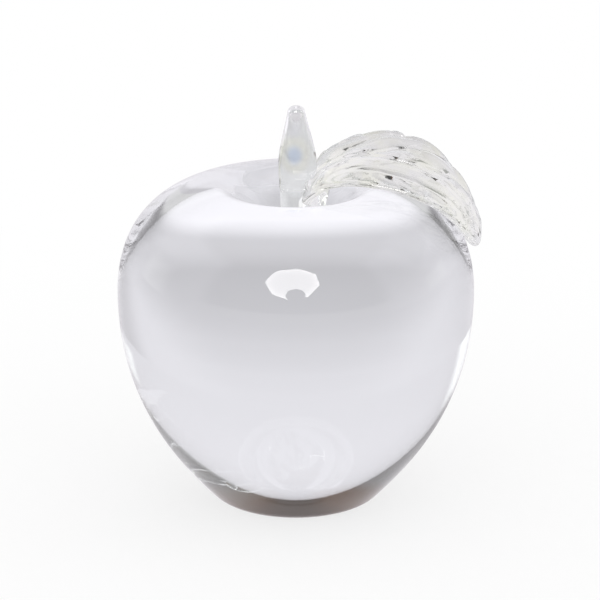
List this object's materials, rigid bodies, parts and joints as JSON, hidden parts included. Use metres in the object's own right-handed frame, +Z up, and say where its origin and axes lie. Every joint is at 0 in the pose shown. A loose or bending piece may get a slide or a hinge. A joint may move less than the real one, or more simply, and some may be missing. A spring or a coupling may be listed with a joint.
{
  "type": "solid glass apple ornament",
  "caption": "Solid clear glass apple paperweight with a dimpled top, flat ground base, drawn stem and a ribbed pressed leaf that drapes over the shoulder.",
  "frame": {"origin": "centre of the flat that is ground on the base", "axes": "+Z up along the body's middle axis, -Y is the front, +X is the side that the leaf hangs over"},
  "size_m": [0.1131, 0.111, 0.127],
  "materials": {
    "body_glass": "polished clear crystal glass",
    "stem_glass": "fire-polished clear crystal glass",
    "leaf_glass": "fire-polished clear crystal glass with pressed ribs"
  },
  "bodies": {
    "root": {"apple_body": "body_glass", "stem": "stem_glass", "leaf_foot": "leaf_glass", "leaf": "leaf_glass"}
  },
  "joints": []
}
